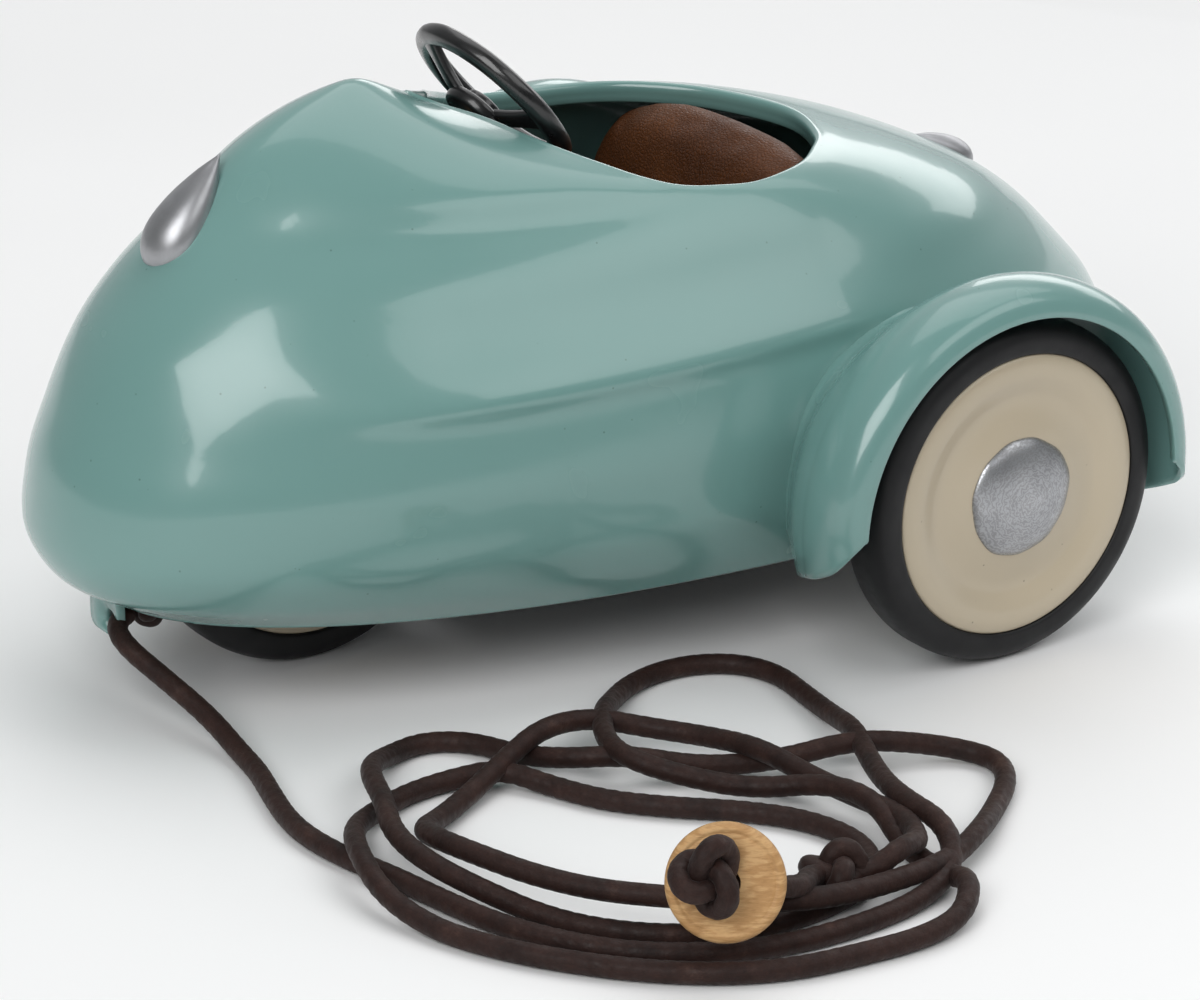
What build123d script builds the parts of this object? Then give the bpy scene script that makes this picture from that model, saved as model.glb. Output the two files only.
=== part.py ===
from build123d import *
import math
import os

# Pull-along toy roadster: pressed body on three wheels, with a cord.
# Millimetres. X is the car's left, -Y its front, +Z up. The wheels stand on z = 0.
# Everything is drawn from one datum and moved by CENTRE_SHIFT, which puts the origin mid-length.

# Driving dimensions
SHEET = 1.2
WHEEL_R = 22.5
WHEEL_HALF = 4.0
DISC_R = 18.4
HUB_R = 7.7
TRACK_HALF = 49.8
REAR_AXLE_Y = 26.0
FRONT_AXLE_Y = -46.6
AXLE_R = 1.5
RUN_GAP = 0.06
HEM_Z = 13.0
FLOOR_TOP_Z = 15.4
FLOOR_SHEET = 1.2
CORD_R = 1.3
CENTRE_SHIFT = 1.35

# Body stations: height, nose y, tail y, half width, y of the widest point,
# and the powers of the front and rear superellipses.
STATIONS = [
    (13.0, -73.0, 74.0, 36.3, 20.0, 2.0, 2.0),
    (17.5, -80.6, 78.3, 38.0, 15.5, 2.1, 1.9),
    (23.0, -82.9, 80.2, 39.3, 11.5, 2.2, 1.85),
    (30.0, -82.0, 77.4, 39.5, 8.6, 2.15, 1.8),
    (38.0, -79.1, 70.0, 38.4, 6.6, 2.1, 1.9),
    (46.0, -75.2, 60.9, 35.5, 4.8, 2.1, 2.05),
    (53.0, -69.9, 48.5, 31.5, 3.0, 2.05, 2.4),
    (59.0, -64.2, 31.0, 26.5, 2.0, 1.9, 2.4),
    (63.0, -59.8, 4.0, 21.9, -17.0, 1.75, 1.9),
    (67.0, -55.6, -13.0, 15.3, -29.0, 1.62, 1.8),
    (71.0, -48.6, -27.0, 8.2, -34.5, 1.6, 1.8),
    (74.5, -38.5, -36.5, 0.6, -37.5, 1.8, 1.8),
]

# Cockpit opening, front apex to rear end, as half width at y
COCKPIT = [
    (0.0, -30.0), (6.1, -24.2), (12.5, -19.9), (18.8, -14.0), (23.7, -7.4),
    (25.3, 1.0), (25.2, 7.6), (22.6, 14.9), (18.2, 20.4), (11.8, 25.6), (0.0, 29.6),
]
LIP_DEPTH = 2.6

# Fender: radius about its own axis against distance out from the centreline
FENDER_AXIS = (0.0, 24.3, 22.3)
FENDER_PROFILE = [
    (57.0, 24.5), (56.4, 26.6), (54.4, 28.3), (51.0, 28.7),
    (47.6, 27.7), (44.4, 25.4), (41.4, 22.8), (37.2, 19.4),
]
FENDER_SHEET = 0.9
FENDER_REAR_DEG = -13.0
FENDER_FRONT_DEG = 194.0

# Steering
WHEEL_CENTRE = (0.0, -17.0, 68.8)
STEER_TILT = 51.0
RING_R = 10.9
RING_WIRE_R = 1.55
HUB_DROP = 3.0
COLUMN_R = 1.25
COLUMN_LENGTH = 21.0

# Loose pull cord: the stretch from the tow tab to the coil, as route points
TAB_HOLE = (0.0, -71.0, 11.2)
TAB_HALF = 3.6
CORD_ROUTE = [
    (0.0, -72.0, 11.2), (1.6, -74.6, 10.5), (6.8, -74.0, 8.2), (14.0, -70.6, 4.6), (22.4, -69.3, 1.6),
    (32.0, -71.0, 1.32), (42.0, -74.8, 1.32), (52.0, -76.2, 1.32), (62.0, -73.6, 1.32),
]
CORD_TAIL = [(98.4, -38.7, 5.4), (101.6, -42.0, 6.6), (102.6, -47.0, 7.6), (102.0, -51.3, 8.3)]
COIL_HEIGHT = 8.6
COIL_OUTER = [
    (62.0, -76.0), (76.0, -80.5), (94.0, -76.0), (108.0, -64.0), (114.0, -48.0), (113.5, -30.0),
    (104.0, -13.0), (92.0, 2.0), (80.0, 7.5), (69.0, 5.0), (52.0, 0.5), (38.0, -2.5), (30.0, -12.0),
    (33.0, -29.0), (34.0, -42.0), (30.0, -52.0), (34.0, -62.0), (45.0, -69.5),
]
COIL_INNER = [(66.0, -62.0), (80.0, -58.0), (88.0, -48.0), (86.0, -40.0), (74.0, -40.0), (62.0, -50.0)]
TOGGLE_R = 7.0
TOGGLE_CENTRE = (102.0, -53.2, 8.8)
TOGGLE_TURN = 34.4
TOGGLE_LEAN = 21.5
KNOT_CENTRE = (97.0, -34.8, 4.6)


def section(station, inset=0.0):
    """Closed horizontal outline of the body at one station."""
    z, nose, tail, half, widest, front_power, rear_power = station
    half = max(half - inset, 0.3)
    nose += inset
    tail -= inset
    points = []
    for power, end in ((front_power, nose), (rear_power, tail)):
        for step in range(7):
            turn = math.radians(90 * step / 7)
            if end is tail:
                turn = math.radians(90) - turn
            across = half * math.sin(turn) ** (2 / power)
            along = widest + (end - widest) * math.cos(turn) ** (2 / power)
            points.append((across, along, z))
    points.append((0.0, tail, z))
    mirrored = [(-x, y, height) for x, y, height in reversed(points[1:-1])]
    return Face(Wire([Edge.make_spline([Vector(*p) for p in points + mirrored], periodic=True)]))


def body_solid(inset=0.0, lowest=HEM_Z):
    """The closed form of the body, or that form set in by the sheet thickness."""
    faces = []
    for station in STATIONS:
        z = station[0]
        if z == HEM_Z:
            z = lowest
        elif z > 60.0:
            z -= inset
        faces.append(section((z,) + station[1:], inset))
    return loft(faces)


def cockpit_prism(inset, low, high):
    """Vertical prism with the plan of the cockpit opening."""
    right = [(x - inset if x > inset else 0.0, y) for x, y in COCKPIT]
    right[0] = (0.0, COCKPIT[0][1] + 1.6 * inset)
    right[-1] = (0.0, COCKPIT[-1][1] - inset)
    left = [(-x, y) for x, y in reversed(right[1:-1])]
    outline = Edge.make_spline([Vector(x, y, low) for x, y in right + left], periodic=True)
    return extrude(Face(Wire([outline])), amount=high - low, dir=(0, 0, 1))


def turned(points, axis_y, axis_z, centre_x=0.0):
    """Ring made by turning a closed (x, radius) outline about an X axis."""
    corners = [(centre_x + x, axis_y, axis_z + radius) for x, radius in points]
    face = make_face(Polyline(*corners, close=True).edges())
    return revolve(face, Axis((0, axis_y, axis_z), (1, 0, 0)), 360)


def rod(x0, x1, y, z, radius, bore=0.0):
    """Round bar or tube along X."""
    plane = Plane(origin=(x0, y, z), x_dir=(0, 1, 0), z_dir=(1, 0, 0))
    bar = extrude(plane * Circle(radius), amount=x1 - x0)
    if bore > 0:
        bar -= extrude(plane * Circle(bore), amount=x1 - x0)
    return bar


def block(x0, x1, y0, y1, z0, z1):
    """Plain box between two corners."""
    box = Box(x1 - x0, y1 - y0, z1 - z0)
    return Pos((x0 + x1) / 2, (y0 + y1) / 2, (z0 + z1) / 2) * box


def make_body():
    """Pressed shell with the cockpit cut out and its edge turned down."""
    outer = body_solid()
    inner = body_solid(SHEET, HEM_Z - 2.0)
    shell = outer - inner
    shell -= cockpit_prism(0.0, 45.0, 90.0)
    lip = cockpit_prism(-0.2, 45.0, 90.0) - cockpit_prism(0.9, 44.0, 91.0)
    lip = lip & outer
    lip -= Pos(0, 0, -LIP_DEPTH) * outer
    shell = shell + lip
    shell -= rod(-45, 45, REAR_AXLE_Y, WHEEL_R, 3.4)
    return shell


def make_fender(side, body):
    """One rear fender, a pressed arch that runs out to a free edge over the wheel."""
    _, y, z = FENDER_AXIS
    outer = [Vector(side * x, y, z + r) for x, r in FENDER_PROFILE]
    inner = [Vector(side * (x - 0.45), y, z + r - FENDER_SHEET) for x, r in FENDER_PROFILE]
    edges = [
        Edge.make_spline(outer), Edge.make_line(outer[-1], inner[-1]),
        Edge.make_spline(inner[::-1]), Edge.make_line(inner[0], outer[0]),
    ]
    axis = Axis((0, y, z), (1, 0, 0))
    face = Face(Wire(edges)).rotate(axis, FENDER_REAR_DEG - 90)
    arch = revolve(face, axis, FENDER_FRONT_DEG - FENDER_REAR_DEG)
    corner = Pos(side * 57, y, z) * Rotation(0, side * -38, 0) * Box(60, 80, 40)
    arch -= Pos(side * 17.0, 0, -36.6) * corner
    pieces = (arch - body).solids()
    return max(pieces, key=lambda piece: abs(piece.center().X))


def wheel_parts(centre_x, y, outward, bore):
    """Tyre, outer disc and back disc of one wheel; outward is +1 or -1 along X."""
    half = WHEEL_HALF
    tyre = [
        (-2.9, 17.0), (-2.9, DISC_R + 0.1), (-half, DISC_R + 0.1), (-half, 20.6), (-3.3, 21.8),
        (-2.0, WHEEL_R - 0.15), (0.0, WHEEL_R), (2.0, WHEEL_R - 0.15), (3.3, 21.8), (half, 20.6),
        (half, DISC_R + 0.1), (2.9, DISC_R + 0.1), (2.9, 17.0),
    ]
    face = [
        (3.0, DISC_R), (3.7, DISC_R), (4.15, 17.5), (4.15, 15.8), (3.5, 14.3), (3.0, 12.7),
        (3.25, 11.0), (3.8, 9.0), (4.2, HUB_R), (4.2, bore), (1.0, bore), (1.0, 4.0), (3.0, 6.0),
        (2.6, 9.5), (1.9, 12.7), (2.4, 14.5), (2.8, 16.0), (0.4, 16.4), (0.4, 16.9), (3.0, 16.9),
    ]
    tyre_ring = turned([(outward * x, r) for x, r in tyre], y, WHEEL_R, centre_x)
    outer_disc = turned([(outward * x, r) for x, r in face], y, WHEEL_R, centre_x)
    back_disc = turned([(-outward * x, r) for x, r in face], y, WHEEL_R, centre_x)
    return tyre_ring, outer_disc, back_disc


def hub_cap(side):
    """Domed centre of a rear wheel."""
    base = 4.3
    crown = [(base + 2.2 * math.cos(math.radians(90 * k / 8)) ** 0.9, HUB_R * math.sin(math.radians(90 * k / 8)))
             for k in range(9)]
    crown[0] = (base + 2.2, 0.0)
    outline = crown + [(base, 3.2), (base + 1.1, 2.2), (base + 1.3, 0.0)]
    return turned([(side * x, r) for x, r in outline], REAR_AXLE_Y, WHEEL_R, side * TRACK_HALF)


def steering_frame():
    """Plane at the steering ring's centre, its normal along the column towards the driver."""
    tilt = math.radians(STEER_TILT)
    return Plane(origin=WHEEL_CENTRE, x_dir=(1, 0, 0), z_dir=(0, math.sin(tilt), math.cos(tilt)))


def make_steering():
    """Steering wheel, column, bracket, bush and collar."""
    plane = steering_frame()
    hub_low = -HUB_DROP - 1.6
    ring = plane * Torus(RING_R, RING_WIRE_R)
    hub = plane * Pos(0, 0, (hub_low - HUB_DROP + 1.2) / 2) * Cylinder(3.4, -HUB_DROP + 1.2 - hub_low)
    wheel = ring + hub
    for turn in (90, 210, 330):
        start = Vector(2.0, 0, -HUB_DROP).rotate(Axis.Z, turn)
        end = Vector(RING_R, 0, -0.3).rotate(Axis.Z, turn)
        path = Edge.make_line(start, end)
        spoke = sweep(Plane(origin=start, z_dir=(end - start)) * Circle(1.0), path)
        wheel += plane * spoke
    wheel -= plane * Pos(0, 0, -HUB_DROP - 5) * Cylinder(COLUMN_R + 0.02, 10)
    column = plane * Pos(0, 0, -HUB_DROP - COLUMN_LENGTH / 2) * Cylinder(COLUMN_R, COLUMN_LENGTH)
    bush_at = -HUB_DROP - 9.0
    bush = plane * Pos(0, 0, bush_at) * (Cylinder(2.6, 5.0) - Cylinder(COLUMN_R + RUN_GAP, 6.0))
    collar = plane * Pos(0, 0, -HUB_DROP - COLUMN_LENGTH + 2.2) * (Cylinder(2.4, 2.4) - Cylinder(COLUMN_R + 0.01, 3))
    strap = plane * Pos(0, 0, bush_at) * (Box(33.0, 6.0, 1.2) - Cylinder(2.62, 2.0))
    feet = [plane * Pos(side * 15.9, 0, bush_at - 3.0) * Box(1.2, 6.0, 7.2) for side in (-1, 1)]
    bracket = strap + feet[0] + feet[1]
    return {"steering_wheel": wheel, "steering_column": column, "steering_column_bush": bush,
            "steering_collar": collar, "column_bracket": bracket}


def lamp(round_at, point_at, radius, sink):
    """Teardrop lamp, turned about an axis that lies just under the skin."""
    start, end = Vector(*round_at), Vector(*point_at)
    along = (end - start).normalized()
    outward = Vector(0, along.Z, -along.Y)
    if outward.Z < 0:
        outward = -outward
    length = (end - start).length
    plane = Plane(origin=start - outward * sink, x_dir=along, z_dir=along.cross(outward))
    shares = [(0.0, 0.0), (0.04, 0.5), (0.14, 0.87), (0.3, 1.0), (0.55, 0.84), (0.8, 0.46), (1.0, 0.0)]
    profile = Edge.make_spline([Vector(share * length, part * radius) for share, part in shares])
    spine = Edge.make_line(Vector(length, 0), Vector(0, 0))
    return revolve(plane * Face(Wire([profile, spine])), Axis(plane.origin, along), 360)


def make_lamps():
    """Headlamp on the nose and tail lamp on the rear deck, each let into the sheet."""
    head = lamp((0, -66.4, 54.6), (0, -57.0, 68.0), 4.1, 1.1)
    tail = lamp((0, 60.6, 46.6), (0, 50.2, 53.2), 3.4, 0.9)
    return {"headlamp": head, "tail_lamp": tail}


def make_floor():
    """Floor pan, the wheel carriers riveted to it and the screws that hold it."""
    low = FLOOR_TOP_Z - FLOOR_SHEET
    plan = section((low, -71.0, 72.0, 34.3, 19.0, 2.0, 2.0))
    pan = extrude(plan, amount=FLOOR_SHEET, dir=(0, 0, 1))
    pan -= block(-5.6, 5.6, FRONT_AXLE_Y - 40, FRONT_AXLE_Y + 24, low - 1, FLOOR_TOP_Z + 1)
    ear_top = WHEEL_R + 5.0
    fork = None
    for side in (-1, 1):
        inner, outer = sorted((side * 6.2, side * 7.4))
        foot_in, foot_out = sorted((side * 6.2, side * 14.0))
        ear = block(inner, outer, FRONT_AXLE_Y - 6, FRONT_AXLE_Y + 6, FLOOR_TOP_Z, ear_top)
        foot = block(foot_in, foot_out, FRONT_AXLE_Y - 8, FRONT_AXLE_Y + 8, FLOOR_TOP_Z, FLOOR_TOP_Z + 1.2)
        fork = ear + foot if fork is None else fork + ear + foot
    strap = block(-14.0, 14.0, FRONT_AXLE_Y + 25.0, FRONT_AXLE_Y + 31.0, FLOOR_TOP_Z, FLOOR_TOP_Z + 1.2)
    rails = [block(side * 11.0 - 3, side * 11.0 + 3, FRONT_AXLE_Y + 7, FRONT_AXLE_Y + 26,
                   FLOOR_TOP_Z, FLOOR_TOP_Z + 1.2) for side in (-1, 1)]
    fork = fork + strap + rails[0] + rails[1]
    fork -= rod(-20, 20, FRONT_AXLE_Y, WHEEL_R, AXLE_R)
    carrier = block(-31, 31, REAR_AXLE_Y - 7, REAR_AXLE_Y + 7, FLOOR_TOP_Z, FLOOR_TOP_Z + 1.2)
    for side in (-1, 1):
        inner, outer = sorted((side * 29.8, side * 31.0))
        carrier += block(inner, outer, REAR_AXLE_Y - 7, REAR_AXLE_Y + 7, FLOOR_TOP_Z, WHEEL_R + 5.5)
    carrier -= rod(-40, 40, REAR_AXLE_Y, WHEEL_R, 3.0)
    rivets = []
    for x, y in ((11.5, FRONT_AXLE_Y - 5), (11.5, FRONT_AXLE_Y + 5), (11.0, FRONT_AXLE_Y + 28)):
        for side in (-1, 1):
            rivets.append(Pos(side * x, y, FLOOR_TOP_Z + 1.7) * Cylinder(1.6, 1.0))
    for x in (-22, 22):
        rivets.append(Pos(x, REAR_AXLE_Y, FLOOR_TOP_Z + 1.7) * Cylinder(1.6, 1.0))
    lugs = []
    screws = []
    for x, y in ((29.0, -10.0), (-29.0, -10.0), (24.0, 46.0), (-24.0, 46.0)):
        lugs.append(Pos(x, y, FLOOR_TOP_Z + 2.0) * Box(7.0, 7.0, 4.0))
        screws.append(Pos(x, y, low + 0.4) * Cylinder(1.9, 0.8))
        pan -= Pos(x, y, low + 0.4) * Cylinder(1.95, 0.8)
    return {"floor_pan": pan, "front_fork": fork, "rear_axle_carrier": carrier,
            "carrier_rivets": Compound(rivets), "shell_lugs": Compound(lugs), "floor_screws": Compound(screws)}


def make_wheels():
    """Rear wheelset and front wheel."""
    parts = {}
    for name, side in (("left", 1), ("right", -1)):
        tyre, outer, back = wheel_parts(side * TRACK_HALF, REAR_AXLE_Y, side, AXLE_R + 0.01)
        parts[f"rear_tyre_{name}"] = tyre
        parts[f"rear_disc_{name}"] = outer
        parts[f"rear_back_disc_{name}"] = back
        parts[f"hub_cap_{name}"] = hub_cap(side)
        inner, outer_end = sorted((side * 29.0, side * 34.0))
        bush = rod(inner, outer_end, REAR_AXLE_Y, WHEEL_R, 2.98, AXLE_R + RUN_GAP)
        parts[f"rear_bush_{name}"] = bush
    clips = [rod(min(s * 34.4, s * 35.4), max(s * 34.4, s * 35.4), REAR_AXLE_Y, WHEEL_R, 2.8, AXLE_R + 0.01)
             for s in (-1, 1)]
    spacers = [rod(min(s * 36.0, s * 45.4), max(s * 36.0, s * 45.4), REAR_AXLE_Y, WHEEL_R, 2.4, AXLE_R + 0.01)
               for s in (-1, 1)]
    parts["rear_axle"] = rod(-TRACK_HALF - 4.2, TRACK_HALF + 4.2, REAR_AXLE_Y, WHEEL_R, AXLE_R)
    parts["axle_clips"] = Compound(clips)
    parts["axle_spacers"] = Compound(spacers)
    tyre, left, right = wheel_parts(0.0, FRONT_AXLE_Y, 1, 2.62)
    parts["front_tyre"] = tyre
    parts["front_disc_left"] = left
    parts["front_disc_right"] = right
    parts["front_hub_tube"] = rod(-5.4, 5.4, FRONT_AXLE_Y, WHEEL_R, 2.6, AXLE_R + RUN_GAP)
    pin = rod(-8.4, 8.4, FRONT_AXLE_Y, WHEEL_R, AXLE_R)
    for side in (-1, 1):
        low, high = sorted((side * 7.4, side * 8.6))
        pin += rod(low, high, FRONT_AXLE_Y, WHEEL_R, 2.6)
    parts["front_axle_pin"] = pin
    return parts


def make_seat():
    """Metal seat pan with a leather cushion and a leather back."""
    lean = Rotation(-18, 0, 0)
    base = block(-20, 20, -17, 20, 26.0, 27.2)
    posts = [block(side * 19 - 1, side * 19 + 1, y - 4, y + 4, FLOOR_TOP_Z, 26.0)
             for side in (-1, 1) for y in (-11, 13)]
    back_sheet = Pos(0, 20.9, 42.2) * lean * Box(34, 1.2, 22)
    pan = base + back_sheet + block(-17, 17, 14.5, 18, 26.0, 33.2)
    for post in posts:
        pan += post
    cushion = Pos(0, -5.2, 31.9) * fillet(Box(39, 24, 9).edges(), 3.6)
    pad = extrude(RectangleRounded(48, 26, 10), amount=8.4)
    pad = fillet(pad.edges(), 3.2)
    back = Pos(0, 16.6, 46.6) * lean * Rotation(90, 0, 0) * Pos(0, 0, -4.2) * pad
    return {"seat_pan": pan, "seat_cushion": cushion, "seat_back": back}


def make_tow_tab():
    """Lug welded inside the hem at the nose, with a hole for the cord."""
    _, y, z = TAB_HOLE
    foot = block(-TAB_HALF, TAB_HALF, y - 7.4, y + 0.6, 16.8, 18.0)
    low = z - 2.6
    blank = extrude(RectangleRounded(2 * TAB_HALF, 18.0 - low, 1.6), amount=0.6, both=True)
    plate = Pos(0, y, (18.0 + low) / 2) * Rotation(90, 0, 0) * blank
    hole = Pos(0, y, z) * Rotation(90, 0, 0) * Cylinder(CORD_R + 0.25, 4)
    return {"tow_tab": foot + plate - hole}


def cord_path(points):
    """Straight runs joined by tangent arcs, each as large as its runs allow."""
    knots = [Vector(*p) for p in points]
    radii = []
    for before, at, after in zip(knots, knots[1:], knots[2:]):
        turn = math.radians((at - before).get_angle(after - at))
        shorter = min((at - before).length, (after - at).length)
        radii.append(0.45 * shorter / math.tan(turn / 2))
    print("cord radii", [round(r, 1) for r in radii])
    return FilletPolyline(*points, radius=radii)


def cord_tube(points):
    """Cord along a route, round in section."""
    path = cord_path(points)
    start = Vector(*points[0])
    direction = Vector(*points[1]) - start
    tube = sweep(Plane(origin=start, z_dir=direction) * Circle(CORD_R), path=path)
    print("cord volume ratio", round(tube.volume / (math.pi * CORD_R ** 2 * path.length), 4))
    return tube


def closed_plan(points, height):
    """Solid with a smooth closed plan, standing on the ground."""
    outline = Edge.make_spline([Vector(x, y, 0) for x, y in points], periodic=True)
    return extrude(Face(Wire([outline])), amount=height, dir=(0, 0, 1))


def make_cord():
    """Pull cord, its loose coil, the knots and the wooden toggle."""
    face_out = Rotation(0, 0, TOGGLE_TURN) * Rotation(90 - TOGGLE_LEAN, 0, 0)
    at = Pos(*TOGGLE_CENTRE)
    tail = cord_tube(CORD_TAIL)
    coil = closed_plan(COIL_OUTER, COIL_HEIGHT) - closed_plan(COIL_INNER, COIL_HEIGHT)
    room = at * face_out * Pos(0, 0, 1.6) * Cylinder(TOGGLE_R + 1.0, 9.5)
    coil -= room
    coil -= Pos(*KNOT_CENTRE) * Sphere(5.0)
    coil -= Pos(101.2, -44.0, 7.0) * Box(9.0, 16.0, 9.0)
    coil = max(coil.solids(), key=lambda piece: piece.volume)
    lead = cord_tube(CORD_ROUTE) - coil
    lead = max(lead.solids(), key=lambda piece: piece.volume)
    toggle = at * face_out * (Cylinder(TOGGLE_R, 2.6) - Cylinder(CORD_R + 0.2, 4))
    toggle_knot = at * face_out * Pos(-1.6, 0.2, 4.4) * Sphere(3.1)
    knot = Pos(*KNOT_CENTRE) * Sphere(4.0)
    start_knot = Pos(0, TAB_HOLE[1] + 0.65 + 1.7, TAB_HOLE[2]) * Sphere(1.7)
    return {"cord_lead": lead, "cord_coil": coil, "cord_tail": tail, "cord_knot": knot,
            "toggle_disc": toggle, "toggle_knot": toggle_knot, "tab_knot": start_knot}


def main():
    os.makedirs("parts", exist_ok=True)
    body = make_body()
    outer = body_solid()
    parts = {"body_shell": body, "fender_left": make_fender(1, outer), "fender_right": make_fender(-1, outer)}
    for group in (make_floor(), make_wheels(), make_steering(), make_seat(), make_lamps(), make_tow_tab(),
                  make_cord()):
        parts.update(group)
    for name, shape in parts.items():
        export_step(Pos(0, CENTRE_SHIFT, 0) * shape, f"parts/{name}.step")


if __name__ == "__main__":
    main()
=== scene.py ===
import math

import bpy
import numpy as np
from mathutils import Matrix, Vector


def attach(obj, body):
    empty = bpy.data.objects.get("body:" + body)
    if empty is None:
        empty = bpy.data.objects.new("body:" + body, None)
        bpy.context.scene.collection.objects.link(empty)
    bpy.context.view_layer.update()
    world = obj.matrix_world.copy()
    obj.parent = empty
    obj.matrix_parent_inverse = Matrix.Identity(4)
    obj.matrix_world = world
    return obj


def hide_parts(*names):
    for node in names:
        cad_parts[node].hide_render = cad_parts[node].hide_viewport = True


# Pull-along toy roadster. Lengths in this file are in millimetres from the CAD datum:
# X is the car's left, -Y its front, +Z up. place() turns them into metres in the row frame.
MM = 0.001
SHIFT = 1.35

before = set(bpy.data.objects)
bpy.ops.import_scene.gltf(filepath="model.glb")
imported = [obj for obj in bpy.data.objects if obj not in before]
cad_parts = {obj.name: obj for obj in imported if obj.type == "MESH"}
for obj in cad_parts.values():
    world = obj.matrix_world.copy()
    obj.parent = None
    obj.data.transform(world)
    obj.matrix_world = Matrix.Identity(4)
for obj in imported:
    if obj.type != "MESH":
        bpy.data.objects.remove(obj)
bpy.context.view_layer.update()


def place(points):
    return [((x) * MM, (y + SHIFT) * MM, z * MM) for x, y, z in points]


# ---------------------------------------------------------------- materials

def material(name, metallic=0.0, coat=0.0, coat_rough=0.06, specular=0.5, sheen=0.0):
    mat = bpy.data.materials.new(name)
    mat.use_nodes = True
    tree = mat.node_tree
    shader = tree.nodes["Principled BSDF"]
    shader.inputs["Metallic"].default_value = metallic
    shader.inputs["Coat Weight"].default_value = coat
    shader.inputs["Coat Roughness"].default_value = coat_rough
    shader.inputs["Specular IOR Level"].default_value = specular
    shader.inputs["Sheen Weight"].default_value = sheen
    return mat, tree, shader


def coords(tree, scale=(1, 1, 1), kind="Object"):
    source = tree.nodes.new("ShaderNodeTexCoord")
    mapping = tree.nodes.new("ShaderNodeMapping")
    mapping.inputs["Scale"].default_value = scale
    tree.links.new(source.outputs[kind], mapping.inputs["Vector"])
    return mapping.outputs["Vector"]


def noise(tree, vector, scale, detail=3.0, rough=0.55):
    node = tree.nodes.new("ShaderNodeTexNoise")
    node.inputs["Scale"].default_value = scale
    node.inputs["Detail"].default_value = detail
    node.inputs["Roughness"].default_value = rough
    tree.links.new(vector, node.inputs["Vector"])
    return node.outputs["Fac"]


def voronoi(tree, vector, scale, feature="F1", output="Distance"):
    node = tree.nodes.new("ShaderNodeTexVoronoi")
    node.feature = feature
    node.inputs["Scale"].default_value = scale
    tree.links.new(vector, node.inputs["Vector"])
    return node.outputs[output]


def ramp(tree, value, stops):
    node = tree.nodes.new("ShaderNodeValToRGB")
    elements = node.color_ramp.elements
    while len(elements) < len(stops):
        elements.new(0.5)
    for element, (at, colour) in zip(elements, stops):
        element.position = at
        element.color = (*colour, 1.0) if len(colour) == 3 else colour
    tree.links.new(value, node.inputs["Fac"])
    return node.outputs["Color"]


def spread(tree, value, low, high, out_low, out_high):
    node = tree.nodes.new("ShaderNodeMapRange")
    for key, number in (("From Min", low), ("From Max", high), ("To Min", out_low), ("To Max", out_high)):
        node.inputs[key].default_value = number
    tree.links.new(value, node.inputs["Value"])
    return node.outputs["Result"]


def mix(tree, a, b, factor, mode="MIX"):
    node = tree.nodes.new("ShaderNodeMix")
    node.data_type = "RGBA"
    node.blend_type = mode
    for socket, value in ((node.inputs["Factor"], factor), (node.inputs["A"], a), (node.inputs["B"], b)):
        if hasattr(value, "links"):
            tree.links.new(value, socket)
        elif isinstance(value, (int, float)):
            socket.default_value = value
        else:
            socket.default_value = (*value, 1.0)
    return node.outputs["Result"]


def bump(tree, shader, height, distance, strength=1.0, below=None, coat=False):
    node = tree.nodes.new("ShaderNodeBump")
    node.inputs["Strength"].default_value = strength
    node.inputs["Distance"].default_value = distance
    tree.links.new(height, node.inputs["Height"])
    if below is not None:
        tree.links.new(below, node.inputs["Normal"])
    tree.links.new(node.outputs["Normal"], shader.inputs["Normal"])
    if coat:
        tree.links.new(node.outputs["Normal"], shader.inputs["Coat Normal"])
    return node.outputs["Normal"]


def enamel(name, colour, deep, rough, coat, specks=0.5, peel=0.00003):
    """Sprayed enamel: slow tone drift, a few dust specks, a slightly uneven gloss."""
    mat, tree, shader = material(name, coat=coat, coat_rough=0.07)
    vector = coords(tree)
    tone = ramp(tree, noise(tree, vector, 22.0, 1.5), [(0.0, deep), (1.0, colour)])
    dust = spread(tree, voronoi(tree, vector, 420.0), 0.035, 0.075, specks, 0.0)
    sparse = spread(tree, noise(tree, vector, 260.0, 1.0), 0.52, 0.6, 0.0, 1.0)
    both = tree.nodes.new("ShaderNodeMath")
    both.operation = "MULTIPLY"
    tree.links.new(dust, both.inputs[0])
    tree.links.new(sparse, both.inputs[1])
    dark = tuple(0.25 * c for c in colour)
    tree.links.new(mix(tree, tone, dark, both.outputs[0]), shader.inputs["Base Color"])
    tree.links.new(spread(tree, noise(tree, vector, 90.0, 2.0), 0.0, 1.0, rough - 0.05, rough + 0.07),
                   shader.inputs["Roughness"])
    bump(tree, shader, noise(tree, vector, 330.0, 2.0), peel, 0.6, coat=True)
    return mat


def rubber(name):
    mat, tree, shader = material(name, specular=0.35)
    vector = coords(tree)
    tone = ramp(tree, noise(tree, vector, 90.0, 4.0), [(0.3, (0.006, 0.006, 0.007)), (0.75, (0.013, 0.013, 0.014))])
    tree.links.new(tone, shader.inputs["Base Color"])
    tree.links.new(spread(tree, noise(tree, vector, 300.0, 4.0), 0.3, 0.7, 0.42, 0.6), shader.inputs["Roughness"])
    bump(tree, shader, noise(tree, vector, 1500.0, 3.0), 0.00003, 0.5)
    return mat


def gloss_black(name):
    mat, tree, shader = material(name, specular=0.5, coat=0.5, coat_rough=0.12)
    vector = coords(tree)
    tone = ramp(tree, noise(tree, vector, 120.0, 3.0), [(0.3, (0.004, 0.004, 0.005)), (0.7, (0.012, 0.012, 0.012))])
    tree.links.new(tone, shader.inputs["Base Color"])
    tree.links.new(spread(tree, noise(tree, vector, 240.0, 4.0), 0.3, 0.7, 0.2, 0.42), shader.inputs["Roughness"])
    bump(tree, shader, noise(tree, vector, 420.0, 3.0), 0.00006, 0.5, coat=True)
    return mat


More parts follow.
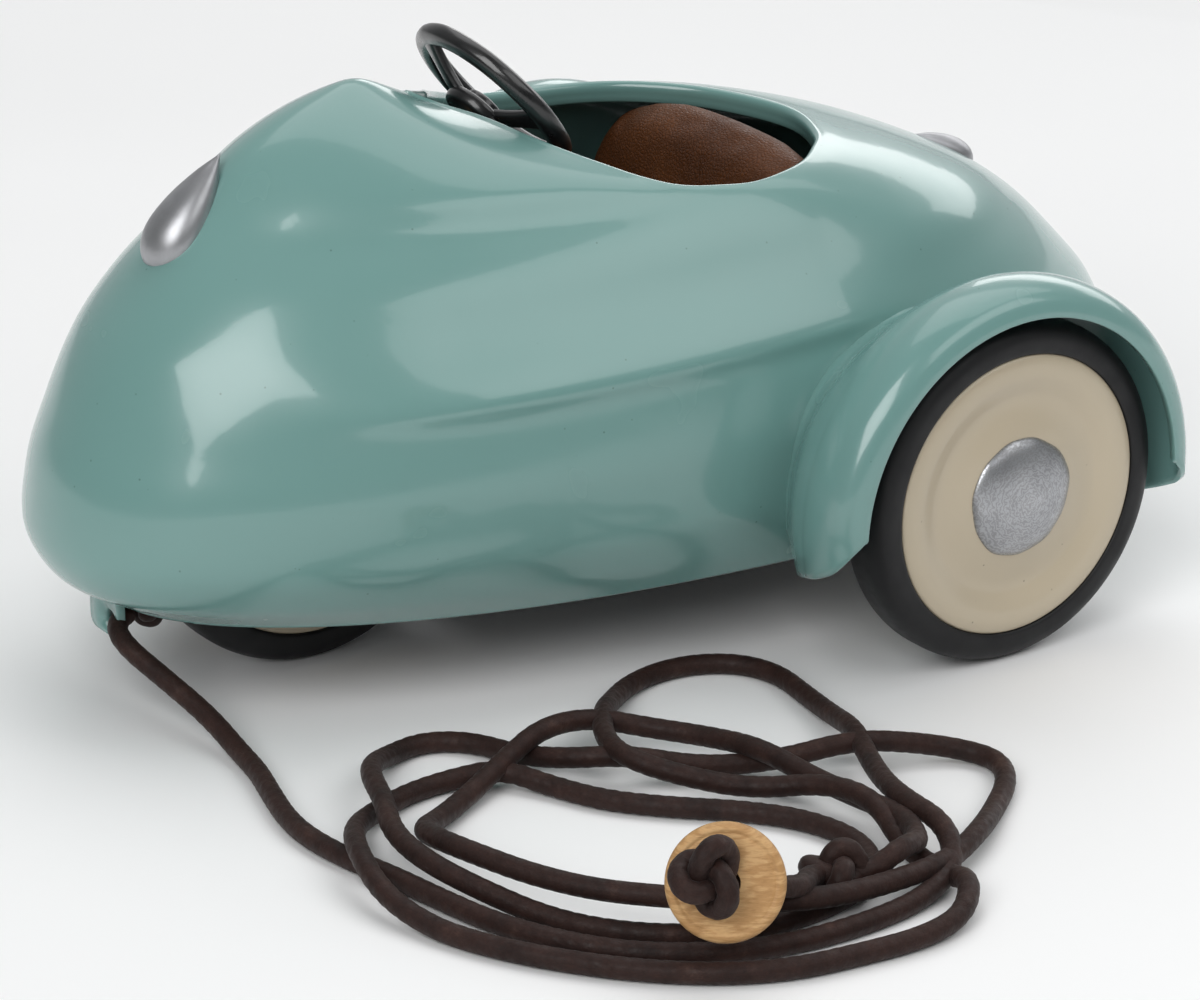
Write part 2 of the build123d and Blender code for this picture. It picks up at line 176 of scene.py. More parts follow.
def silver(name, scale=(1, 1, 1), turned=False):
    """Hand-brushed silver paint."""
    mat, tree, shader = material(name, metallic=0.9)
    vector = coords(tree)
    if turned:
        wave = tree.nodes.new("ShaderNodeTexWave")
        wave.wave_type = "RINGS"
        wave.rings_direction = "Z"
        wave.inputs["Scale"].default_value = 560.0
        wave.inputs["Distortion"].default_value = 13.0
        wave.inputs["Detail"].default_value = 6.0
        wave.inputs["Detail Scale"].default_value = 2.5
        tree.links.new(coords(tree, (1, 1, 1), "UV"), wave.inputs["Vector"])
        marks = wave.outputs["Fac"]
    else:
        marks = noise(tree, coords(tree, scale), 300.0, 5.0, 0.7)
    tone = ramp(tree, marks, [(0.1, (0.40, 0.40, 0.41)), (0.9, (0.52, 0.53, 0.55))])
    cloudy = ramp(tree, noise(tree, vector, 140.0, 4.0), [(0.3, (0.72, 0.72, 0.73)), (0.7, (1, 1, 1))])
    tree.links.new(mix(tree, tone, cloudy, 1.0, "MULTIPLY"), shader.inputs["Base Color"])
    tree.links.new(spread(tree, marks, 0.2, 0.8, 0.44, 0.34), shader.inputs["Roughness"])
    bump(tree, shader, marks, 0.00001, 0.35)
    return mat


def leather(name):
    """Brown leather: pebbled grain and creases, with painted shade darkening the colour in the grain's hollows."""
    mat, tree, shader = material(name, specular=0.28)
    vector = coords(tree)
    bent = tree.nodes.new("ShaderNodeVectorMath")
    bent.operation = "MULTIPLY_ADD"
    wander = tree.nodes.new("ShaderNodeTexNoise")
    wander.inputs["Scale"].default_value = 700.0
    wander.inputs["Detail"].default_value = 2.0
    tree.links.new(vector, wander.inputs["Vector"])
    tree.links.new(wander.outputs["Color"], bent.inputs[0])
    bent.inputs[1].default_value = (0.0006, 0.0006, 0.0006)
    tree.links.new(vector, bent.inputs[2])
    cells = voronoi(tree, bent.outputs["Vector"], 1900.0, "DISTANCE_TO_EDGE")
    tone = ramp(tree, noise(tree, vector, 70.0, 5.0, 0.6),
                [(0.25, (0.046, 0.0135, 0.003)), (0.55, (0.102, 0.032, 0.0075)), (0.85, (0.160, 0.055, 0.015))])
    # painted shade: the colour is darkened towards the edges of the grain cells, where the bump makes hollows
    groove_shade = spread(tree, cells, 0.0, 0.25, 0.45, 1.0)
    tree.links.new(mix(tree, tone, groove_shade, 0.55, "MULTIPLY"), shader.inputs["Base Color"])
    tree.links.new(spread(tree, noise(tree, vector, 500.0, 4.0), 0.3, 0.7, 0.42, 0.6), shader.inputs["Roughness"])
    fine = bump(tree, shader, noise(tree, vector, 3200.0, 4.0), 0.00004, 0.35)
    bump(tree, shader, spread(tree, cells, 0.0, 0.3, 0.0, 1.0), 0.0001, 0.8, below=fine)
    return mat


def cord_material(name):
    """Waxed braid; the strands themselves are in the mesh, the fibres are here."""
    mat, tree, shader = material(name, specular=0.24, sheen=0.04)
    vector = coords(tree)
    tone = ramp(tree, noise(tree, vector, 260.0, 5.0, 0.65),
                [(0.28, (0.016, 0.0062, 0.0047)), (0.6, (0.037, 0.0160, 0.0122)), (0.82, (0.078, 0.040, 0.030))])
    fibre = noise(tree, coords(tree, (60, 1, 1), "UV"), 42.0, 3.0, 0.6)
    flecks = ramp(tree, fibre, [(0.35, (0.55, 0.55, 0.55)), (0.68, (1.0, 1.0, 1.0))])
    tree.links.new(mix(tree, tone, flecks, 0.8, "MULTIPLY"), shader.inputs["Base Color"])
    tree.links.new(spread(tree, noise(tree, vector, 900.0, 3.0), 0.3, 0.7, 0.45, 0.72), shader.inputs["Roughness"])
    bump(tree, shader, noise(tree, vector, 2600.0, 4.0), 0.00009, 0.7)
    return mat


def wood(name):
    mat, tree, shader = material(name, specular=0.3)
    vector = coords(tree, (1, 1, 5.5))
    rings = tree.nodes.new("ShaderNodeTexWave")
    rings.inputs["Scale"].default_value = 90.0
    rings.inputs["Distortion"].default_value = 9.0
    rings.inputs["Detail"].default_value = 4.0
    rings.inputs["Detail Scale"].default_value = 3.0
    tree.links.new(vector, rings.inputs["Vector"])
    tone = ramp(tree, rings.outputs["Fac"], [(0.0, (0.45, 0.25, 0.10)), (0.6, (0.53, 0.31, 0.135)), (1.0, (0.60, 0.37, 0.17))])
    pores = ramp(tree, noise(tree, coords(tree, (1, 1, 9)), 900.0, 3.0, 0.7), [(0.36, (0.5, 0.42, 0.34)), (0.5, (1, 1, 1))])
    tree.links.new(mix(tree, tone, pores, 0.28, "MULTIPLY"), shader.inputs["Base Color"])
    tree.links.new(spread(tree, rings.outputs["Fac"], 0.0, 1.0, 0.48, 0.62), shader.inputs["Roughness"])
    bump(tree, shader, rings.outputs["Fac"], 0.00005, 0.4)
    return mat


def plain_metal(name, low, high, rough, metallic=1.0):
    mat, tree, shader = material(name, metallic=metallic)
    vector = coords(tree, (1.0, 1.0, 1.0))
    tree.links.new(ramp(tree, noise(tree, vector, 210.0, 5.0), [(0.3, low), (0.75, high)]), shader.inputs["Base Color"])
    tree.links.new(spread(tree, noise(tree, vector, 700.0, 4.0), 0.3, 0.7, rough - 0.08, rough + 0.12),
                   shader.inputs["Roughness"])
    bump(tree, shader, noise(tree, vector, 1400.0, 3.0), 0.00003, 0.4)
    return mat


TEAL = enamel("teal_enamel", (0.168, 0.322, 0.300), (0.158, 0.306, 0.286), 0.24, 0.6)
CREAM = enamel("cream_enamel", (0.560, 0.480, 0.355), (0.500, 0.425, 0.310), 0.36, 0.25, specks=0.6)
TYRE = rubber("tyre")
BLACK = gloss_black("black_gloss")
SILVER = silver("silver_paint", (1.0, 1.0, 0.16))
SILVER_HUB = silver("silver_hub", turned=True)
LEATHER = leather("brown_leather")
CORD = cord_material("waxed_cord")
WOOD = wood("pale_wood")
STEEL = plain_metal("steel", (0.36, 0.36, 0.37), (0.56, 0.56, 0.57), 0.34)
BRASS = plain_metal("brass", (0.38, 0.27, 0.11), (0.60, 0.45, 0.20), 0.38)
CHASSIS = plain_metal("chassis_paint", (0.010, 0.010, 0.011), (0.028, 0.028, 0.030), 0.42, metallic=0.0)

# ------------------------------------------------------------------- pieces


def piece(name, points, faces, mat, body, nodes, uvs=None, smooth=True):
    """One mesh object in the row frame, riding on a body and standing for CAD nodes."""
    mesh = bpy.data.meshes.new(name)
    mesh.from_pydata(place(points), [], faces)
    if uvs is not None:
        layer = mesh.uv_layers.new(name="UVMap")
        for loop in mesh.loops:
            layer.data[loop.index].uv = uvs[loop.vertex_index]
    mesh.validate()
    mesh.polygons.foreach_set("use_smooth", [smooth] * len(mesh.polygons))
    mesh.materials.append(mat)
    obj = bpy.data.objects.new(name, mesh)
    bpy.context.scene.collection.objects.link(obj)
    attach(obj, body)
    if nodes:
        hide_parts(*nodes)
    return obj


def apply_modifiers(obj):
    graph = bpy.context.evaluated_depsgraph_get()
    made = bpy.data.meshes.new_from_object(obj.evaluated_get(graph))
    obj.modifiers.clear()
    obj.data = made
    made.polygons.foreach_set("use_smooth", [True] * len(made.polygons))


def grid_faces(rows, columns, closed_rows=False, closed_columns=True):
    """Quads of a rows x columns grid of points, wound the same way throughout."""
    faces = []
    for i in range(rows if closed_rows else rows - 1):
        for j in range(columns if closed_columns else columns - 1):
            i2 = (i + 1) % rows
            j2 = (j + 1) % columns
            faces.append((i * columns + j, i * columns + j2, i2 * columns + j2, i2 * columns + j))
    return faces


def smooth_line(points, per=8, closed=False):
    """Points along a centripetal-like Catmull-Rom curve through the given ones."""
    pts = [np.array(p, float) for p in points]
    if closed:
        pts = [pts[-1]] + pts + pts[:2]
    else:
        pts = [2 * pts[0] - pts[1]] + pts + [2 * pts[-1] - pts[-2]]
    out = []
    for a, b, c, d in zip(pts, pts[1:], pts[2:], pts[3:]):
        for k in range(per):
            t = k / per
            out.append(0.5 * (2 * b + (c - a) * t + (2 * a - 5 * b + 4 * c - d) * t ** 2
                              + (3 * b - a - 3 * c + d) * t ** 3))
    if not closed:
        out.append(pts[-2])
    return out


def lathe(name, outline, centre, mat, body, nodes, turns=160, closed=True):
    """Outline of (x, radius) turned about an X axis through the centre point."""
    cx, cy, cz = centre
    points = []
    uvs = []
    for x, radius in outline:
        for j in range(turns):
            angle = 2 * math.pi * j / turns
            points.append((cx + x, cy + radius * math.cos(angle), cz + radius * math.sin(angle)))
            uvs.append((0.001 * radius * math.cos(angle), 0.001 * radius * math.sin(angle)))
    faces = grid_faces(len(outline), turns, closed_rows=closed)
    return piece(name, points, faces, mat, body, nodes, uvs)

# --------------------------------------------------------------- cord first
# Control points of the one pull cord, in the order it runs: tow tab, floor, loops,
# overhand knot, toggle. The last number is the layer, which says what lies on what.
CORD_R = 1.3
LEAD = [(0.0, -71.6, 11.2), (0.6, -74.0, 10.8), (4.4, -75.0, 9.4), (10.8, -72.9, 6.6), (18.0, -70.8, 3.6)]
ON_FLOOR = [
    (25.0, -70.6, 1), (31.0, -71.6, 1), (37.5, -73.6, 1), (44.0, -75.4, 1), (50.0, -76.0, 1), (57.0, -75.2, 1),
    (64.0, -73.4, 1), (72.0, -72.0, 1), (80.0, -70.4, 1), (88.0, -67.0, 1), (95.0, -62.0, 1), (100.5, -54.5, 1),
    (103.5, -45.5, 1), (104.0, -35.5, 1), (102.5, -26.0, 1), (99.0, -19.5, 7), (94.0, -17.2, 7), (87.0, -17.6, 7),
    (80.5, -15.6, 7), (73.0, -12.0, 7), (65.5, -8.4, 7), (57.5, -5.8, 7), (49.5, -4.0, 7), (43.0, -3.0, 7),
    (37.6, -4.8, 7), (34.2, -9.6, 7), (33.6, -15.4, 7), (35.4, -21.2, 7), (39.4, -26.0, 7), (45.2, -31.4, 7), (51.6, -35.8, 7),
    (57.6, -37.2, 7), (63.0, -33.6, 7), (69.0, -26.6, 7), (76.0, -20.6, 7), (84.0, -19.4, 7), (92.0, -21.4, 2),
    (99.4, -21.0, 2), (105.0, -22.0, 2), (109.4, -26.6, 2), (110.4, -33.0, 2), (109.6, -41.0, 2), (108.4, -49.0, 2),
    (105.0, -56.4, 2), (99.0, -63.6, 2), (92.0, -69.4, 2), (85.0, -73.8, 2), (77.5, -76.8, 2), (69.5, -78.2, 2),
    (61.5, -76.6, 2), (54.0, -72.4, 2), (49.4, -67.0, 2), (46.4, -60.6, 2), (45.8, -54.0, 2), (48.4, -48.4, 2),
    (54.0, -45.0, 2), (61.0, -42.0, 2), (67.0, -36.6, 2), (72.4, -30.4, 2), (78.6, -25.6, 2), (86.0, -23.8, 2),
    (92.6, -26.0, 3), (96.8, -31.6, 3), (98.6, -39.0, 3), (98.2, -47.0, 3), (95.2, -54.4, 3), (90.0, -60.4, 3),
    (83.4, -65.0, 3), (75.6, -68.6, 3), (67.6, -71.2, 3), (59.6, -70.6, 3), (53.0, -67.6, 3), (46.6, -65.4, 3),
    (40.6, -61.6, 3), (36.4, -56.6, 3), (34.8, -51.0, 3), (38.0, -46.0, 3), (45.0, -43.6, 3), (51.6, -41.6, 3),
    (56.4, -35.6, 3), (60.6, -27.6, 4), (64.6, -19.4, 4), (68.2, -10.8, 4), (71.2, -3.4, 4), (74.6, 2.0, 4),
    (79.0, 3.4, 4), (84.0, 0.4, 4), (89.4, -6.2, 4), (94.8, -12.6, 4), (98.6, -19.6, 4), (100.8, -27.6, 4),
    (101.6, -36.0, 4), (101.0, -43.4, 4), (97.4, -49.8, 4), (92.6, -55.2, 4), (86.6, -60.6, 4), (79.6, -64.4, 4),
    (72.6, -67.0, 4), (65.6, -68.6, 4), (59.6, -66.6, 4), (55.2, -61.6, 4), (51.6, -55.0, 4), (48.4, -48.0, 4),
    (46.2, -41.0, 5), (46.6, -34.0, 5), (50.2, -28.0, 5), (56.6, -23.6, 5), (64.6, -22.0, 5), (73.0, -20.6, 5),
    (81.0, -19.0, 5), (88.6, -18.8, 5), (95.2, -21.6, 5), (99.0, -27.0, 5),
]
INTO_KNOT = [(98.8, -32.0, 4.2), (96.4, -35.6, 4.6), (97.4, -39.4, 5.4)]
TO_TOGGLE = [(100.6, -42.4, 6.4), (102.1, -46.7, 8.0), (101.7, -50.6, 9.4), (101.3, -52.9, 9.95)]
TOGGLE = np.array((101.1, -53.5, 10.1))
TOGGLE_OUT = np.array((0.767, -0.526, 0.366)) / np.linalg.norm((0.767, -0.526, 0.366))
KNOT = np.array((97.0, -35.4, 4.8))


def nurbs(name, points):
    """Open spline with these points as its control points."""
    curve = bpy.data.curves.new(name, "CURVE")
    curve.dimensions = "3D"
    curve.resolution_u = 12
    spline = curve.splines.new("NURBS")
    spline.points.add(len(points) - 1)
    for point, co in zip(spline.points, place(points)):
        point.co = (*co, 1.0)
    spline.order_u = 3
    spline.use_endpoint_u = True
    obj = bpy.data.objects.new(name, curve)
    bpy.context.scene.collection.objects.link(obj)
    return obj


def spline_points(points, step=0.45):
    """Even points along that spline, in millimetres from the datum."""
    obj = nurbs("route", points)
    graph = bpy.context.evaluated_depsgraph_get()
    mesh = bpy.data.meshes.new_from_object(obj.evaluated_get(graph))
    line = np.array([tuple(v.co) for v in mesh.vertices]) / MM
    line[:, 1] -= SHIFT
    bpy.data.objects.remove(obj)
    bpy.data.meshes.remove(mesh)
    along = np.r_[0.0, np.cumsum(np.linalg.norm(np.diff(line, axis=0), axis=1))]
    even = np.linspace(0.0, along[-1], int(along[-1] / step) + 1)
    return np.stack([np.interp(even, along, line[:, k]) for k in range(3)], axis=1)


def settle(flat):
    """Height of each floor point: the layers are laid one after another, each over those below."""
    plan = np.array([(x, y, 0.0) for x, y, _ in flat])
    layer = np.array([order for _, _, order in flat])
    line = spline_points([tuple(p) for p in plan], 0.8)[:, :2]
    nearest = np.array([np.argmin(np.sum((plan[:, :2] - p) ** 2, axis=1)) for p in line])
    order = layer[nearest]
    height = np.full(len(line), CORD_R + 0.05)
    thick = 2 * CORD_R + 0.75
    index = np.arange(len(line))
    for level in sorted(set(layer)):
        mine = np.where(order == level)[0]
        under = np.where(order < level)[0]
        wanted = np.full(len(line), CORD_R + 0.05)
        for i in mine:
            low = np.concatenate([under, mine[mine < i - 12]])
            if len(low) == 0:
                continue
            gap = np.hypot(line[low, 0] - line[i, 0], line[low, 1] - line[i, 1])
            near = (gap < thick) & (np.abs(low - i) > 12)
            if near.any():
                lift = height[low[near]] + np.sqrt(thick ** 2 - gap[near] ** 2)
                wanted[i] = max(wanted[i], min(lift.max(), 7.0))
            height[i] = wanted[i]
        for i in mine:
            window = mine[np.abs(mine - i) <= 4]
            height[i] = wanted[window].max()
        soft = height.copy()
        for i in mine:
            weight = np.exp(-((index - i) / 8.5) ** 2)
            soft[i] = np.sum(weight * height) / np.sum(weight)
        height[mine] = np.maximum(soft[mine], CORD_R + 0.05)
    points = []
    for x, y, _ in flat:
        i = np.argmin(np.hypot(line[:, 0] - x, line[:, 1] - y))
        points.append((x, y, float(height[i])))
    return points


def frames(line, closed=False):
    """Tangent and two cross directions that turn as little as possible along a line."""
    ahead = np.roll(line, -1, axis=0) - np.roll(line, 1, axis=0)
    if not closed:
        ahead[0] = line[1] - line[0]
        ahead[-1] = line[-1] - line[-2]
    ahead /= np.linalg.norm(ahead, axis=1)[:, None]
    side = np.cross(ahead[0], (0.0, 0.0, 1.0))
    side /= np.linalg.norm(side)
    sides = [side]
    for tangent in ahead[1:]:
        side = side - tangent * np.dot(side, tangent)
        side /= np.linalg.norm(side)
        sides.append(side)
    sides = np.array(sides)
    return ahead, sides, np.cross(ahead, sides)


def braid(name, line, radius, nodes, closed=False, around=24, pitch=7.0):
    """Tube along a line whose skin is a plait of strands that pass over and under."""
    _, sides, ups = frames(line, closed)
    along = np.r_[0.0, np.cumsum(np.linalg.norm(np.diff(line, axis=0), axis=1))]
    points = []
    uvs = []
    for i, centre in enumerate(line):
        turn = 2 * math.pi * along[i] / pitch
        for j in range(around):
            angle = 2 * math.pi * j / around
            right = math.cos(2 * (angle * 2 + turn * 2))
            left = math.cos(2 * (angle * 2 - turn * 2))
            over = 0.5 + 0.5 * math.sin(4 * angle) * math.sin(4 * turn)
            bulge = max(right * (0.5 + 0.5 * over), left * (1.0 - 0.5 * over))
            r = radius * (0.965 + 0.055 * bulge)
            points.append(centre + r * (math.cos(angle) * sides[i] + math.sin(angle) * ups[i]))
            uvs.append((0.001 * along[i], j / around))
    faces = grid_faces(len(line), around, closed_rows=closed)
    if not closed:
        faces.append(tuple(range(around))[::-1])
        faces.append(tuple((len(line) - 1) * around + j for j in range(around)))
    return piece(name, points, faces, CORD, "chassis", nodes, uvs)


def overhand(centre, axes, size, flat, name, nodes, spin=0.0):
    """Tight overhand knot: one closed three-lobed turn of cord pressed flat."""
    a, b, c = (np.array(v, float) / np.linalg.norm(v) for v in axes)
    line = []
    for k in range(150):
        t = 2 * math.pi * k / 150
        u = math.sin(t) + 2 * math.sin(2 * t)
        v = math.cos(t) - 2 * math.cos(2 * t)
        w = -math.sin(3 * t)
        u, v = (u * math.cos(spin) - v * math.sin(spin), u * math.sin(spin) + v * math.cos(spin))
        line.append(np.array(centre) + size[0] * u * a + size[1] * v * b + flat * w * c)
    return braid(name, np.array(line), CORD_R, nodes, closed=True)


ROUTE = LEAD + settle(ON_FLOOR) + INTO_KNOT + TO_TOGGLE
CORD_LINE = spline_points(ROUTE)
pull_cord = braid("pull_cord", CORD_LINE, CORD_R, ("cord_lead", "cord_coil", "cord_tail"))
TOGGLE_SIDE = np.cross((0.0, 0.0, 1.0), TOGGLE_OUT)
TOGGLE_SIDE /= np.linalg.norm(TOGGLE_SIDE)
TOGGLE_RISE = np.cross(TOGGLE_OUT, TOGGLE_SIDE)
end_knot = overhand(KNOT, ((0.6, 0.75, 0.25), (-0.75, 0.5, 0.45), (0.2, -0.45, 0.87)), (0.98, 0.9), 1.35,
                    "cord_end_knot", ("cord_knot",))
front_knot = overhand(TOGGLE + 3.7 * TOGGLE_OUT - 2.0 * TOGGLE_SIDE + 0.9 * TOGGLE_RISE,
                      (TOGGLE_SIDE, TOGGLE_RISE, TOGGLE_OUT), (1.06, 1.26), 1.45,
                      "toggle_front_knot", ("toggle_knot",), 0.5)
behind_tab = overhand((0.0, -68.9, 11.2), ((1, 0, 0), (0, 0, 1), (0, 1, 0)), (0.42, 0.42), 0.5,
                      "tab_end_knot", ("tab_knot",))


def toggle_disc():
    """Turned wooden disc with softened edges and a hole for the cord."""
    outline = smooth_line([(1.6, -1.1), (1.9, -1.3), (4.0, -1.3), (5.95, -1.28), (6.5, -0.85), (6.7, 0.0), (6.5, 0.85),
                           (5.95, 1.28), (5.5, 1.2), (5.2, 1.3), (4.0, 1.3), (1.9, 1.3), (1.6, 1.1)], 4, closed=True)
    turns = 96
    points = [TOGGLE + TOGGLE_OUT * h + r * (math.cos(t) * TOGGLE_SIDE + math.sin(t) * TOGGLE_RISE)
              for r, h in outline for t in (2 * math.pi * j / turns for j in range(turns))]
    faces = grid_faces(len(outline), turns, closed_rows=True)
    return piece("wooden_toggle", points, faces, WOOD, "chassis", ("toggle_disc",))


toggle = toggle_disc()

# --------------------------------------------------------------------- body
STATIONS = np.array([
    (13.0, -73.0, 74.0, 36.3, 20.0, 2.0, 2.0), (17.5, -80.6, 78.3, 38.0, 15.5, 2.1, 1.9),
    (23.0, -82.9, 80.2, 39.3, 11.5, 2.2, 1.85), (30.0, -82.0, 77.4, 39.5, 8.6, 2.15, 1.8),
    (38.0, -79.1, 70.0, 38.4, 6.6, 2.1, 1.9), (46.0, -75.2, 60.9, 35.5, 4.8, 2.1, 2.05),
    (53.0, -69.9, 48.5, 31.5, 3.0, 2.05, 2.4), (59.0, -64.2, 31.0, 26.5, 2.0, 1.9, 2.4),
    (63.0, -59.8, 4.0, 21.9, -17.0, 1.75, 1.9), (67.0, -55.6, -13.0, 15.3, -29.0, 1.62, 1.8),
    (71.0, -48.6, -27.0, 8.2, -34.5, 1.6, 1.8), (74.5, -38.5, -36.5, 0.6, -37.5, 1.8, 1.8),
])
COCKPIT = [
    (0.0, -30.0), (6.1, -24.2), (12.5, -19.9), (18.8, -14.0), (23.7, -7.4),
    (25.3, 1.0), (25.2, 7.6), (22.6, 14.9), (18.2, 20.4), (11.8, 25.6), (0.0, 29.6),
]


def monotone(xs, ys, at):
    """Monotone cubic interpolation of each column of ys."""
    h = np.diff(xs)[:, None]
    slope = np.diff(ys, axis=0) / h
    tangent = np.zeros_like(ys)
    for k in range(ys.shape[1]):
        for i in range(1, len(xs) - 1):
            left, right = slope[i - 1, k], slope[i, k]
            if left * right > 0:
                wl = 2 * h[i, 0] + h[i - 1, 0]
                wr = h[i, 0] + 2 * h[i - 1, 0]
                tangent[i, k] = (wl + wr) / (wl / left + wr / right)
        tangent[0, k] = slope[0, k]
        tangent[-1, k] = slope[-1, k]
    i = np.clip(np.searchsorted(xs, at) - 1, 0, len(xs) - 2)
    t = ((at - xs[i]) / h[i, 0])[:, None]
    a, b = ys[i], ys[i + 1]
    ta, tb = tangent[i] * h[i], tangent[i + 1] * h[i]
    return (a * (1 + 2 * t) * (1 - t) ** 2 + ta * t * (1 - t) ** 2 + b * t * t * (3 - 2 * t) + tb * t * t * (t - 1))


LEVELS = np.linspace(13.0, 74.5, 493)
SHAPE = monotone(STATIONS[:, 0], STATIONS[:, 1:], LEVELS)


def outside(x, y, rows=slice(None)):
    """Below zero where (x, y) is inside the section at each level."""
    nose, tail, half, widest, front, rear = (SHAPE[rows, k] for k in range(6))
    x, y = np.abs(np.asarray(x))[..., None], np.asarray(y)[..., None]
    ahead = y < widest
    reach = np.where(ahead, widest - nose, tail - widest)
    power = np.where(ahead, front, rear)
    return (x / half) ** power + (np.abs(y - widest) / np.maximum(reach, 0.1)) ** power - 1.0


def top_height(x, y):
    """Height of the body's upper surface over plan points."""
    value = outside(x, y)
    inside = value < 0
    last = value.shape[-1] - 1 - np.argmax(inside[..., ::-1], axis=-1)
    last = np.minimum(last, value.shape[-1] - 2)
    low = np.take_along_axis(value, last[..., None], -1)[..., 0]
    high = np.take_along_axis(value, last[..., None] + 1, -1)[..., 0]
    share = np.clip(-low / np.maximum(high - low, 1e-9), 0.0, 1.0)
    found = inside.any(axis=-1)
    return np.where(found, LEVELS[last] + share * (LEVELS[last + 1] - LEVELS[last]), np.nan)


def cockpit_radius(angles, centre_y):
    right = COCKPIT
    loop = right + [(-x, y) for x, y in reversed(right[1:-1])]
    line = np.array(smooth_line(loop, 24, closed=True))
    polar = np.arctan2(line[:, 1] - centre_y, line[:, 0])
    radius = np.hypot(line[:, 0], line[:, 1] - centre_y)
    order = np.argsort(polar)
    return np.interp(angles, polar[order], radius[order], period=2 * math.pi)


def body_meridians(count=288, rows=110):
    """Outer skin as meridians from the hem up and over to the cockpit's edge."""
    centre_y = -1.0
    angles = 2 * math.pi * (np.arange(count) + 0.5) / count - math.pi / 2
    rim = cockpit_radius(angles, centre_y)
    radii = np.linspace(0.0, 90.0, 1400)
    low_rows = slice(0, 201)
    out = []
    for angle, inner in zip(angles, rim):
        ux, uy = math.cos(angle), math.sin(angle)
        value = outside(radii * ux, centre_y + radii * uy, low_rows)
        within = value < 0
        edge = within.shape[0] - 1 - np.argmax(within[::-1], axis=0)
        before = value[edge, np.arange(value.shape[1])]
        after = value[np.minimum(edge + 1, len(radii) - 1), np.arange(value.shape[1])]
        low_r = radii[edge] + (radii[1] - radii[0]) * np.clip(-before / np.maximum(after - before, 1e-9), 0, 1)
        lower = np.stack([low_r, LEVELS[low_rows]], axis=1)
        start = low_r[-1]
        upper_r = np.linspace(start - 0.05, inner, 260)
        upper_z = top_height(upper_r * ux, centre_y + upper_r * uy)
        upper = np.stack([upper_r, upper_z], axis=1)
        line = np.concatenate([lower, upper[1:]])
        line = line[~np.isnan(line).any(axis=1)]
        along = np.r_[0.0, np.cumsum(np.hypot(*np.diff(line, axis=0).T))]
        even = np.linspace(0.0, along[-1], rows)
        r = np.interp(even, along, line[:, 0])
        z = np.interp(even, along, line[:, 1])
        out.append(np.stack([r * ux, centre_y + r * uy, z], axis=1))
    return np.array(out).transpose(1, 0, 2)


def relax(skin, times):
    """Evens out the little steps of the sampling, leaving the two edges where they are."""
    for _ in range(times):
        skin[1:-1] = 0.25 * (skin[:-2] + skin[2:]) + 0.5 * skin[1:-1]
        skin[1:-1] = 0.5 * skin[1:-1] + 0.25 * (np.roll(skin, 1, 1) + np.roll(skin, -1, 1))[1:-1]
    return skin


def swage(skin):
    """Soft pressed line along each flank, from behind the nose to over the fender."""
    y = skin[..., 1]
    z = skin[..., 2]
    line_z = 41.6 + 0.035 * (y + 50.0)
    fade = np.clip((y + 62.0) / 22.0, 0, 1) * np.clip((26.0 - y) / 14.0, 0, 1)
    away = z - line_z
    push = np.where(away > 0, np.exp(-(away / 4.2) ** 2), np.exp(-(away / 1.9) ** 2))
    dent = np.exp(-((away - 8.0) / 5.0) ** 2)
    amount = fade * (1.15 * push - 0.75 * dent)
    side = np.sign(skin[..., 0]) * np.clip((np.abs(skin[..., 0]) - 14.0) / 8.0, 0, 1)
    skin[..., 0] += side * amount
    return skin


def build_body():
    skin = swage(relax(body_meridians(), 3))
    skin[..., 2] -= 0.9 * np.exp(-(skin[..., 0] / 12.0) ** 2 - ((skin[..., 1] + 27.0) / 7.0) ** 2)
    rows, count, _ = skin.shape
    edge = skin[-1]
    centre = np.array((0.0, -1.0, 0.0))
    inward = centre - edge
    inward[:, 2] = 0.0
    inward /= np.linalg.norm(inward, axis=1)[:, None]
    up = np.array((0.0, 0.0, 1.0))
    rim = [edge + inward * a + up * b for a, b in
           ((0.35, 0.12), (0.7, 0.02), (0.98, -0.3), (1.08, -0.8), (1.02, -1.3), (0.85, -1.9), (0.85, -2.5), (0.4, -2.9),
            (-0.2, -2.9))]
    normal_in = []
    for i in range(rows):
        lower, upper = skin[max(i - 1, 0)], skin[min(i + 1, rows - 1)]
        along = upper - lower
        round_it = np.roll(skin[i], -1, 0) - np.roll(skin[i], 1, 0)
        n = np.cross(along, round_it)
        n /= np.maximum(np.linalg.norm(n, axis=1), 1e-9)[:, None]
        flip = np.sign(np.sum(n * (skin[i] - np.array((0.0, -1.0, 30.0))), axis=1))
        normal_in.append(-n * flip[:, None])
    inner = [skin[i] + normal_in[i] * 1.1 for i in range(rows - 3, -1, -2)]
    hem = skin[0]
    hem_in = [inner[-1] + up * -0.2, hem + (inner[-1] - hem) * 0.6 + up * -0.55, hem + (inner[-1] - hem) * 0.2 + up * -0.4]
    loops = list(skin) + rim + inner[:-1] + hem_in
    points = np.concatenate(loops)
    faces = grid_faces(len(loops), count, closed_rows=True)
    return piece("roadster_body", points, faces, TEAL, "chassis", ("body_shell",))


body = build_body()

# ------------------------------------------------------------------ fenders
FENDER_Y, FENDER_Z = 24.3, 22.3
FENDER_EDGE = [(57.0, 24.6), (56.9, 25.5), (56.3, 26.9), (55.0, 28.05), (53.2, 28.6), (51.0, 28.7), (48.6, 28.2),
               (46.2, 27.0), (43.8, 25.4), (41.4, 23.2), (39.2, 21.3), (37.0, 19.6), (35.2, 18.4)]


def clearance(x, y, z):
    """Rough distance from the body's side at this height: positive outside."""
    row = np.clip(((z - 13.0) / 0.125).astype(int), 0, len(LEVELS) - 1)
    nose, tail, half, widest, front, rear = (SHAPE[row, k] for k in range(6))
    ahead = y < widest
    reach = np.where(ahead, widest - nose, tail - widest)
    power = np.where(ahead, front, rear)
    room = np.clip(1 - (np.abs(y - widest) / reach) ** power, 0, 1)
    return x - half * room ** (1 / power)


